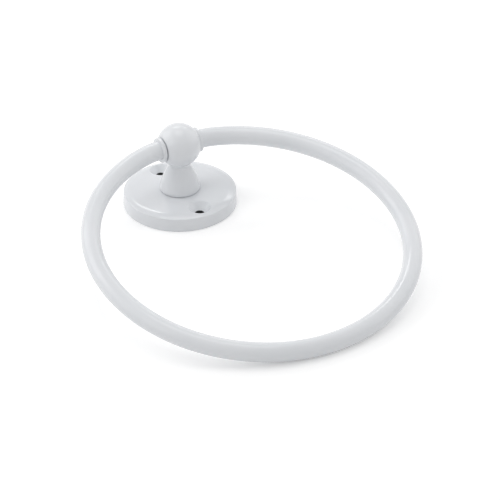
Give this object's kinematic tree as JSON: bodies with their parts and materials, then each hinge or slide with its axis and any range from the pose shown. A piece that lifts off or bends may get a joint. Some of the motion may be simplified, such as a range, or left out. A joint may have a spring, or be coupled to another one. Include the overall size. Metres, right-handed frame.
{
  "type": "towel ring",
  "caption": "White towel ring: a loop of round tube swings from a ball-headed post on a round wall plate with countersunk screw holes.",
  "frame": {"origin": "centre of the wall plate's back, on the plane of the wall", "axes": "+Z out of the wall along the post, X along the ring's pivot, -Y towards the hanging ring"},
  "size_m": [0.1589, 0.1781, 0.0426],
  "materials": {
    "white_paint": "gloss",
    "screw_steel": "zinc plated"
  },
  "bodies": {
    "mount": {"wall_plate": "white_paint", "post": "white_paint", "post_screw": "screw_steel"},
    "loop": {"ring": "white_paint", "left_collar": "white_paint", "right_collar": "white_paint"}
  },
  "joints": [
    {"name": "ring_swing", "type": "hinge", "parent": "mount", "child": "loop", "pos_m": [0, 0, 0.032], "axis": [-1, 0, 0], "range_deg": [0, 201]}
  ]
}
